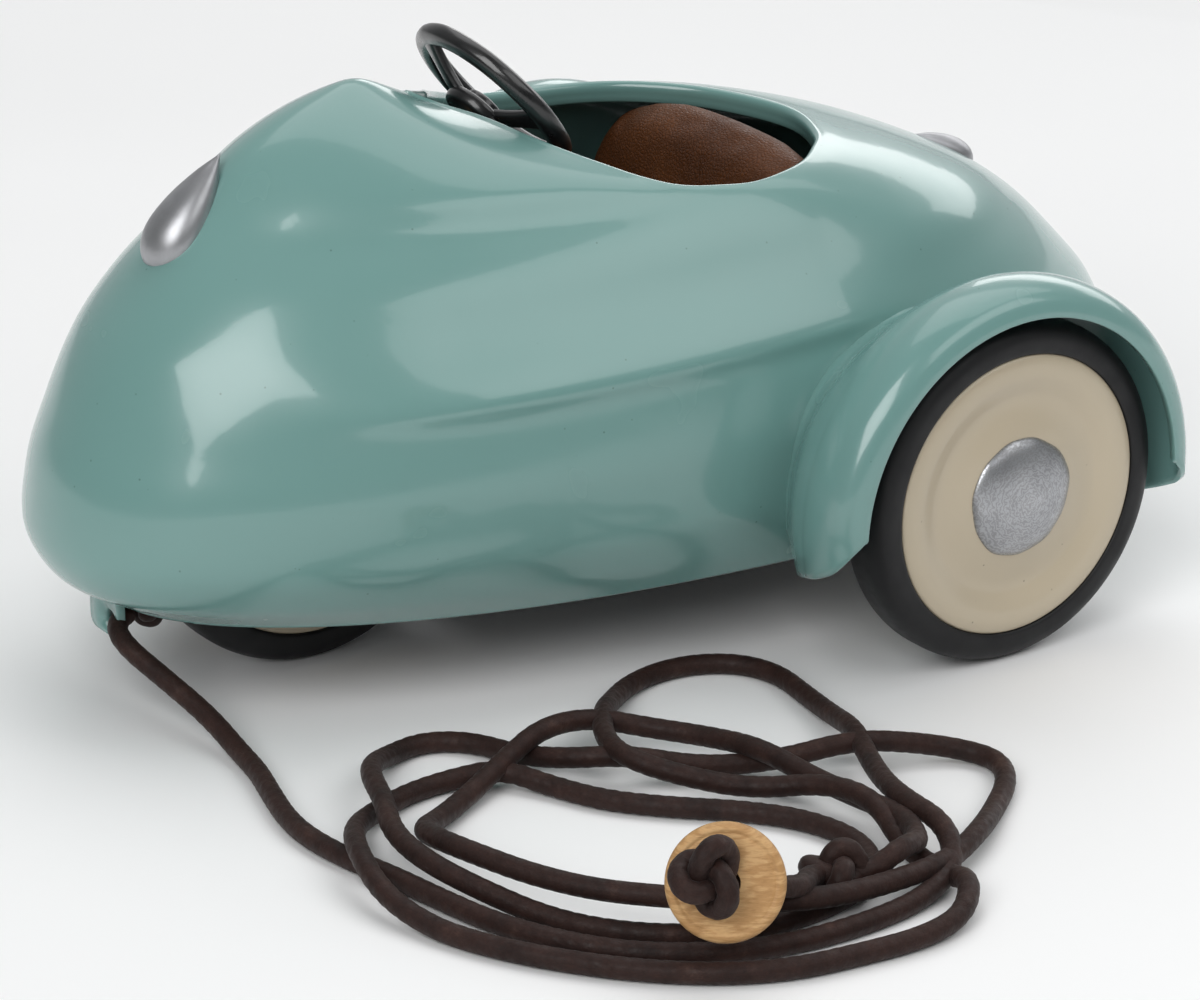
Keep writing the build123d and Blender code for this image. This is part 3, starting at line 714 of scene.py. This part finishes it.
def build_fender(side, name, node):
    profile = np.array(smooth_line(FENDER_EDGE, 5))
    across = len(profile)
    share = np.linspace(0, 1, 132)
    x = profile[:, 0]
    outward = np.clip((x - 39.0) / 18.0, 0, 1)
    front_end = 200.0 - 16.0 * outward ** 1.1
    rear_end = -20.0 + 16.0 * outward ** 1.1
    corner = np.clip((x - 53.4) / 3.6, 0, 1)
    drop = 6.5 * (1 - np.sqrt(np.clip(1 - corner ** 2, 0, 1)))
    front_end = front_end - drop
    rear_end = rear_end + drop
    outer = []
    for s in share:
        angle = np.radians(rear_end + (front_end - rear_end) * s)
        radius = profile[:, 1].copy()
        forward = np.clip((-np.cos(angle) - 0.55) / 0.4, 0, 1)
        radius += forward * np.clip((48.0 - x) / 10.0, 0, 1) * 2.6
        for _ in range(2):
            y = FENDER_Y + radius * np.cos(angle)
            z = FENDER_Z + radius * np.sin(angle)
            near = clearance(x, y, z)
            top = np.clip((np.sin(angle) - 0.25) / 0.6, 0, 1)
            fillet = (0.35 + 2.1 * top) * np.exp(-np.clip(near, 0, None) / (0.8 + 1.5 * top))
            radius = profile[:, 1] + forward * np.clip((48.0 - x) / 10.0, 0, 1) * 2.6 + fillet
        y = FENDER_Y + radius * np.cos(angle)
        z = FENDER_Z + radius * np.sin(angle)
        outer.append(np.stack([x, y, z], axis=1))
    outer = np.array(outer)
    rows = len(outer)
    run = np.gradient(outer, axis=0)
    slope = np.gradient(outer, axis=1)
    normal = np.cross(run, slope)
    normal /= np.linalg.norm(normal, axis=2)[..., None]
    axis_point = outer.copy()
    axis_point[..., 1] -= FENDER_Y
    axis_point[..., 2] -= FENDER_Z
    axis_point[..., 0] = 0.25 * (axis_point[..., 0] - 40.0)
    normal *= np.sign(np.sum(normal * axis_point, axis=2))[..., None]
    normal *= np.sign(np.median(np.sum(normal * axis_point, axis=2)))
    inner = outer - normal * 0.95
    middle = outer - normal * 0.475
    edge_out = run / np.linalg.norm(run, axis=2)[..., None]
    rim_a = middle.copy()
    rim_a[:, 0] += np.array((0.32, 0.0, 0.0))
    loops = []
    for i in range(rows):
        lip = middle[i, 0] + np.array((0.33, 0.0, 0.0))
        loops.append(np.concatenate([outer[i], inner[i][::-1], [lip]]))
    first = np.concatenate([middle[0], middle[0][::-1], [middle[0][0]]]) - np.concatenate(
        [edge_out[0], edge_out[0][::-1], [edge_out[0][0]]]) * 0.35
    last = np.concatenate([middle[-1], middle[-1][::-1], [middle[-1][0]]]) + np.concatenate(
        [edge_out[-1], edge_out[-1][::-1], [edge_out[-1][0]]]) * 0.35
    loops = [first] + loops + [last]
    points = np.concatenate(loops)
    points[:, 0] *= side
    faces = grid_faces(len(loops), 2 * across + 1)
    if side > 0:
        faces = [f[::-1] for f in faces]
    return piece(name, points, faces, TEAL, "chassis", (node,))


build_fender(1, "rear_fender_left", "fender_left")
build_fender(-1, "rear_fender_right", "fender_right")


# -------------------------------------------------------------------- lamps

def lamp(name, node, ends, radius, lift, rows=34, turns=56):
    """Silver-painted teardrop pressed in the sheet."""
    start, end = (np.array(p) for p in ends)
    along = end - start
    length = np.linalg.norm(along)
    along = along / length
    out = np.array((0.0, along[2], -along[1]))
    if out[2] < 0:
        out = -out
    side = np.array((1.0, 0.0, 0.0))
    shares = smooth_line([(0.0, 0.0), (0.05, 0.52), (0.16, 0.88), (0.32, 1.0), (0.55, 0.83), (0.8, 0.44), (1.0, 0.0)], 8)
    stations = np.interp(np.linspace(0, 1, rows), np.linspace(0, 1, len(shares)), [p[0] for p in shares])
    widths = np.interp(np.linspace(0, 1, rows), np.linspace(0, 1, len(shares)), [p[1] for p in shares])
    points = []
    for s, w in zip(stations, widths):
        for j in range(turns):
            angle = 2 * math.pi * j / turns
            across = radius * max(w, 0.01) * math.cos(angle)
            high = radius * lift * max(w, 0.01) * math.sin(angle)
            points.append(start + along * length * s + side * across + out * (high - 0.5))
    faces = grid_faces(rows, turns)
    faces.append(tuple(range(turns))[::-1])
    faces.append(tuple((rows - 1) * turns + j for j in range(turns)))
    return piece(name, points, faces, SILVER, "chassis", (node,))


lamp("nose_lamp", "headlamp", ((0, -66.9, 54.9), (0, -57.0, 68.3)), 4.1, 0.82)
lamp("deck_lamp", "tail_lamp", ((0, 60.0, 46.7), (0, 51.0, 52.4)), 3.0, 0.8)

# ------------------------------------------------------------------- wheels
WHEEL_R = 22.5
REAR, FRONT = 26.0, -46.6
TRACK = 49.8
TYRE_OUTLINE = smooth_line([
    (-2.9, 17.2), (-3.0, 18.3), (-3.85, 18.5), (-4.05, 19.3), (-3.95, 20.6), (-3.3, 21.75), (-1.9, 22.4), (0.0, 22.5),
    (1.9, 22.4), (3.3, 21.75), (3.95, 20.6), (4.05, 19.3), (3.85, 18.5), (3.0, 18.3), (2.9, 17.2)], 5, closed=True)
DISC_OUTLINE = [(0.6, 18.1), (2.6, 18.42), (3.3, 18.45), (3.75, 18.25), (4.0, 17.75), (4.15, 17.0), (4.14, 16.2),
                (4.0, 15.4), (3.7, 14.6), (3.35, 13.8), (3.08, 13.1), (3.0, 12.5), (3.06, 11.7), (3.25, 10.8),
                (3.5, 9.9), (3.78, 9.0), (4.0, 8.2), (4.12, 7.6), (4.16, 6.8), (4.2, 5.0), (4.2, 2.65)]


def disc(centre, way, name, nodes, body):
    """Pressed wheel disc with a rolled edge, a ring-shaped valley and a raised middle."""
    front = smooth_line(DISC_OUTLINE, 5)
    back = [(x - 0.9, r) for x, r in reversed(front)]
    outline = [(way * x, r) for x, r in list(front) + back]
    return lathe(name, outline, centre, CREAM, body, nodes)


def dome(centre, way, name, node):
    """Silver-painted middle of the disc, a low dome with a slightly wavering painted edge."""
    points = []
    uvs = []
    turns = 120
    rows = 26
    for i in range(rows):
        share = i / (rows - 1)
        for j in range(turns):
            angle = 2 * math.pi * j / turns
            waver = 1.0 + 0.012 * math.sin(3 * angle + 1.0) + 0.010 * math.sin(5 * angle) + 0.006 * math.sin(11 * angle)
            r = 7.75 * waver * math.sin(0.5 * math.pi * share)
            high = 4.17 + 2.15 * math.cos(0.5 * math.pi * share) ** 1.25
            points.append((centre[0] + way * high, centre[1] + r * math.cos(angle), centre[2] + r * math.sin(angle)))
            uvs.append((0.001 * r * math.cos(angle), 0.001 * r * math.sin(angle)))
    for j in range(turns):
        angle = 2 * math.pi * j / turns
        points.append((centre[0] + way * 3.9, centre[1] + 7.6 * math.cos(angle), centre[2] + 7.6 * math.sin(angle)))
        uvs.append((0.0076 * math.cos(angle), 0.0076 * math.sin(angle)))
    faces = grid_faces(rows + 1, turns)
    if way < 0:
        faces = [f[::-1] for f in faces]
    return piece(name, points, faces, SILVER_HUB, "rear_wheelset", (node,), uvs)


for side, way in (("left", 1), ("right", -1)):
    middle = (way * TRACK, REAR, WHEEL_R)
    lathe(f"tyre_{side}", TYRE_OUTLINE, middle, TYRE, "rear_wheelset", (f"rear_tyre_{side}",))
    disc(middle, way, f"wheel_face_{side}", (f"rear_disc_{side}",), "rear_wheelset")
    disc(middle, -way, f"wheel_back_{side}", (f"rear_back_disc_{side}",), "rear_wheelset")
    dome(middle, way, f"wheel_dome_{side}", f"hub_cap_{side}")
nose_wheel = (0.0, FRONT, WHEEL_R)
lathe("tyre_front", TYRE_OUTLINE, nose_wheel, TYRE, "front_wheel", ("front_tyre",))
disc(nose_wheel, 1, "front_face_left", ("front_disc_left",), "front_wheel")
disc(nose_wheel, -1, "front_face_right", ("front_disc_right",), "front_wheel")

# ----------------------------------------------------------------- steering
RING_CENTRE = np.array((0.0, -17.0, 68.8))
TILT = math.radians(51.0)
RING_OUT = np.array((0.0, math.sin(TILT), math.cos(TILT)))
RING_UP = np.array((0.0, -math.cos(TILT), math.sin(TILT)))


def on_ring(x, up, out):
    return RING_CENTRE + np.array((x, 0.0, 0.0)) + RING_UP * up + RING_OUT * out


def steering():
    points = []
    faces = []

    def add(more, polygons):
        start = len(points)
        points.extend(more)
        faces.extend([tuple(start + k for k in f) for f in polygons])

    turns = 140
    wall = [(1.5 * math.copysign(abs(math.cos(t)) ** 0.85, math.cos(t)), 1.3 * math.copysign(abs(math.sin(t)) ** 0.85, math.sin(t)))
            for t in (2 * math.pi * k / 20 for k in range(20))]
    ring = []
    for j in range(turns):
        angle = 2 * math.pi * j / turns
        for dr, dz in wall:
            r = 10.9 + dr + 0.05 * math.sin(9 * angle) * (dz > 0)
            ring.append(on_ring(r * math.cos(angle), r * math.sin(angle), dz))
    add(ring, grid_faces(turns, 20, closed_rows=True))
    hub = smooth_line([(0.0, -1.15), (1.8, -1.2), (2.5, -1.5), (2.75, -2.2), (3.9, -2.35), (4.5, -2.7), (4.6, -3.6),
                       (4.2, -4.3), (2.8, -4.6), (1.4, -4.65)], 4)
    hub_points = [on_ring(max(r, 0.01) * math.cos(t), max(r, 0.01) * math.sin(t), h)
                  for r, h in hub for t in (2 * math.pi * j / 64 for j in range(64))]
    add(hub_points, grid_faces(len(hub), 64) + [tuple((len(hub) - 1) * 64 + j for j in range(64))])
    for turn in (118, 238, 358):
        a = math.radians(turn)
        line = np.array([on_ring(r * math.cos(a), r * math.sin(a), -3.2 + 2.9 * ((r - 2.0) / 9.0) ** 1.15)
                         for r in np.linspace(2.0, 10.6, 16)])

        def shape(s):
            wide = 1.45 - 0.25 * math.sin(math.pi * s) + 0.35 * s ** 4
            thick = 0.72
            return [(thick * math.copysign(abs(math.sin(t)) ** 0.6, math.sin(t)),
                     wide * math.copysign(abs(math.cos(t)) ** 0.6, math.cos(t)))
                    for t in (2 * math.pi * k / 16 for k in range(16))]
        cross_dir = np.array((-math.sin(a), 0.0, 0.0)) + RING_UP * math.cos(a)
        spoke = []
        for i, centre in enumerate(line):
            tangent = line[min(i + 1, 15)] - line[max(i - 1, 0)]
            face_dir = np.cross(cross_dir, tangent)
            face_dir /= np.linalg.norm(face_dir)
            for thin, wide in shape(i / 15):
                spoke.append(centre + face_dir * thin + cross_dir * wide)
        add(spoke, grid_faces(16, 16) + [tuple(range(16))[::-1], tuple(15 * 16 + j for j in range(16))])
    return piece("moulded_steering_wheel", points, faces, BLACK, "steering", ("steering_wheel",))


steering()

# --------------------------------------------------------------------- seat
PAD_SCALE = 20.0


def pad(name, node, size, corner, centre, lean, crown, steps=20):
    """Leather pad: a slightly small closed form, blown up as cloth, then cut to a soft cushion."""
    half = np.array(size) / 2
    count, rows = 72, 17
    points = []
    for i in range(rows):
        tilt = math.pi * i / (rows - 1) - math.pi / 2
        thick = half[1] * math.copysign(abs(math.sin(tilt)) ** 0.8, math.sin(tilt)) * 0.8
        shrink = abs(math.cos(tilt)) ** 0.35
        for j in range(count):
            t = 2 * math.pi * j / count
            power = 2 / corner
            x = (half[0] - 0.9) * math.copysign(abs(math.cos(t)) ** power, math.cos(t)) * max(shrink, 0.02)
            z = (half[2] - 0.9) * math.copysign(abs(math.sin(t)) ** power, math.sin(t)) * max(shrink, 0.02)
            if z > 0:
                z -= crown * (x / half[0]) ** 2
            points.append((x, thick, z))
    faces = grid_faces(rows, count)
    faces.append(tuple(range(count))[::-1])
    faces.append(tuple((rows - 1) * count + j for j in range(count)))
    mesh = bpy.data.meshes.new(name)
    mesh.from_pydata([tuple(PAD_SCALE * MM * v for v in p) for p in points], [], faces)
    obj = bpy.data.objects.new(name, mesh)
    bpy.context.scene.collection.objects.link(obj)
    remesh = obj.modifiers.new("even", "REMESH")
    remesh.mode = "VOXEL"
    remesh.voxel_size = 0.024
    apply_modifiers(obj)
    rest = np.array([tuple(v.co) for v in obj.data.vertices])
    cloth = obj.modifiers.new("cloth", "CLOTH")
    cloth.settings.use_pressure = True
    cloth.settings.uniform_pressure_force = 4.0
    cloth.settings.effector_weights.gravity = 0.0
    cloth.settings.tension_stiffness = 18.0
    cloth.settings.bending_stiffness = 0.6
    for number in range(1, steps + 1):
        bpy.context.scene.frame_set(number)
    apply_modifiers(obj)
    bpy.context.scene.frame_set(1)
    moved = np.array([tuple(v.co) for v in obj.data.vertices])
    step = moved - rest
    length = np.linalg.norm(step, axis=1)
    cap = 1.1 * PAD_SCALE * MM
    step *= (np.minimum(length, cap) / np.maximum(length, 1e-9))[:, None]
    moved = rest + step
    moved = moved / (PAD_SCALE * MM)
    # Soft pull creases that run in from the edge.
    reach = np.maximum(np.abs(moved[:, 0]) / half[0], np.abs(moved[:, 2]) / half[2])
    angle = np.arctan2(moved[:, 2], moved[:, 0])
    crease = np.clip((reach - 0.45) / 0.5, 0, 1) * (np.sin(angle * 17.0) + 0.6 * np.sin(angle * 31.0 + 1.0))
    moved[:, 1] += np.sign(moved[:, 1]) * 0.10 * crease
    c, s = math.cos(lean), math.sin(lean)
    turned = np.stack([moved[:, 0], c * moved[:, 1] - s * moved[:, 2], s * moved[:, 1] + c * moved[:, 2]], axis=1)
    final = place(turned + np.array(centre))
    for vertex, co in zip(obj.data.vertices, final):
        vertex.co = co
    smooth = obj.modifiers.new("smooth", "SMOOTH")
    smooth.iterations = 3
    finer = obj.modifiers.new("finer", "SUBSURF")
    finer.levels = 1
    finer.render_levels = 1
    apply_modifiers(obj)
    obj.data.materials.append(LEATHER)
    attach(obj, "chassis")
    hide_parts(node)
    return obj


pad("seat_back_pad", "seat_back", (53.0, 10.8, 29.8), 3.4, (0.0, 16.4, 47.0), math.radians(-18.0), 2.4)
pad("seat_cushion_pad", "seat_cushion", (39.0, 9.4, 24.5), 3.6, (0.0, -5.2, 32.0), math.radians(90.0), 0.0)


# ---------------------------------------------------------------------- tab

def tow_tab():
    """Small painted lug bent down behind the hem, with the cord's hole in it."""
    turns = 48
    loops = []
    for dy in (-0.6, -0.45, 0.45, 0.6):
        inset = 0.15 if abs(dy) > 0.5 else 0.0
        ring = []
        for j in range(turns):
            t = 2 * math.pi * j / turns
            x = 3.6 * math.copysign(abs(math.cos(t)) ** 0.4, math.cos(t))
            z = 11.2 + (4.2 if math.sin(t) > 0 else 2.5) * math.copysign(abs(math.sin(t)) ** 0.6, math.sin(t))
            ring.append((-1.4 + x * (1 - inset / 3.6), -73.8 + dy, 11.2 + (z - 11.2) * (1 - inset / 3.6)))
        loops.append(np.array(ring))
    hole = []
    for dy in (0.6, -0.6):
        hole.append(np.array([(0.3 + 1.5 * math.cos(2 * math.pi * j / turns), -73.8 + dy,
                               10.95 + 1.5 * math.sin(2 * math.pi * j / turns)) for j in range(turns)]))
    points = np.concatenate(loops + hole)
    return piece("painted_tow_tab", points, grid_faces(6, turns, closed_rows=True), TEAL, "chassis", ("tow_tab",))


tow_tab()

# ------------------------------------------------------- carried-over pieces
FINISH = {
    "floor_pan": CHASSIS, "front_fork": CHASSIS, "rear_axle_carrier": CHASSIS, "shell_lugs": CHASSIS,
    "column_bracket": CHASSIS, "seat_pan": CHASSIS, "carrier_rivets": STEEL, "floor_screws": STEEL,
    "rear_bush_left": BRASS, "rear_bush_right": BRASS, "steering_column_bush": BRASS, "rear_axle": STEEL,
    "axle_clips": STEEL, "axle_spacers": STEEL, "front_axle_pin": STEEL, "front_hub_tube": STEEL,
    "steering_column": STEEL, "steering_collar": STEEL,
}
for node, mat in FINISH.items():
    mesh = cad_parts[node].data
    mesh.materials.clear()
    mesh.materials.append(mat)

# -------------------------------------------------------- floor, light, view
floor_mesh = bpy.data.meshes.new("floor")
floor_mesh.from_pydata([(-6, -6, 0), (6, -6, 0), (6, 6, 0), (-6, 6, 0)], [], [(0, 1, 2, 3)])
floor = bpy.data.objects.new("floor", floor_mesh)
bpy.context.scene.collection.objects.link(floor)
floor_mat, floor_tree, floor_shader = material("floor", specular=0.2)
floor_tone = ramp(floor_tree, noise(floor_tree, coords(floor_tree), 6.0, 2.0),
                  [(0.3, (0.90, 0.90, 0.90)), (0.7, (0.93, 0.93, 0.93))])
floor_tree.links.new(floor_tone, floor_shader.inputs["Base Color"])
floor_shader.inputs["Roughness"].default_value = 0.75
floor_mesh.materials.append(floor_mat)

world = bpy.data.worlds.new("studio")
bpy.context.scene.world = world
world.use_nodes = True
tree = world.node_tree
background = tree.nodes["Background"]
direction = coords(tree, kind="Generated")
split = tree.nodes.new("ShaderNodeVectorMath")
split.operation = "DOT_PRODUCT"
split.inputs[1].default_value = (-0.70, 0.60, 0.38)
tree.links.new(direction, split.inputs[0])
glow = ramp(tree, spread(tree, split.outputs["Value"], -1.0, 1.0, 0.0, 1.0),
            [(0.0, (0.16, 0.17, 0.17)), (0.5, (0.22, 0.23, 0.23)), (0.78, (0.50, 0.51, 0.52)), (1.0, (0.95, 0.95, 0.96))])
tree.links.new(glow, background.inputs["Color"])
background.inputs["Strength"].default_value = 0.62


def softbox(name, azimuth, elevation, distance, size, power, roll=0.0, colour=(1, 1, 1)):
    """Square light at that direction from the car, facing it."""
    lamp_data = bpy.data.lights.new(name, "AREA")
    lamp_data.shape = "RECTANGLE"
    lamp_data.size, lamp_data.size_y = size
    lamp_data.energy = power
    lamp_data.color = colour
    obj = bpy.data.objects.new(name, lamp_data)
    a, e = math.radians(azimuth), math.radians(elevation)
    at = Vector((math.cos(e) * math.cos(a), math.cos(e) * math.sin(a), math.sin(e))) * distance
    target = Vector((0.0, 0.0, 0.04))
    obj.location = at + target
    obj.rotation_euler = (-at).to_track_quat("-Z", "Y").to_euler()
    obj.rotation_euler.rotate_axis("Z", math.radians(roll))
    bpy.context.scene.collection.objects.link(obj)
    return obj


softbox("key_box", -56, 35, 1.1, (0.66, 0.66), 6.4, roll=38)
softbox("side_box", 26, 42, 1.4, (1.2, 0.6), 4.2)
softbox("top_box", 120, 68, 1.5, (1.8, 1.2), 8.0)
softbox("fill_box", 120, 68, 1.5, (1.8, 1.2), 5.5).visible_glossy = False
softbox("back_box", 118, 20, 1.6, (1.6, 0.45), 5.0)

camera_data = bpy.data.cameras.new("camera")
camera_data.lens = 138.0
camera_data.sensor_width = 36.0
camera_data.sensor_fit = "HORIZONTAL"
camera_data.clip_start = 0.01
camera = bpy.data.objects.new("camera", camera_data)
camera.location = (0.466315, -0.320634 + SHIFT * MM, 0.233024)
camera.rotation_mode = "XYZ"
look = Vector((-0.7672, 0.5262, -0.3662))
camera.rotation_euler = look.to_track_quat("-Z", "Y").to_euler()
bpy.context.scene.collection.objects.link(camera)
bpy.context.scene.camera = camera
bpy.context.scene.view_settings.view_transform = "Standard"
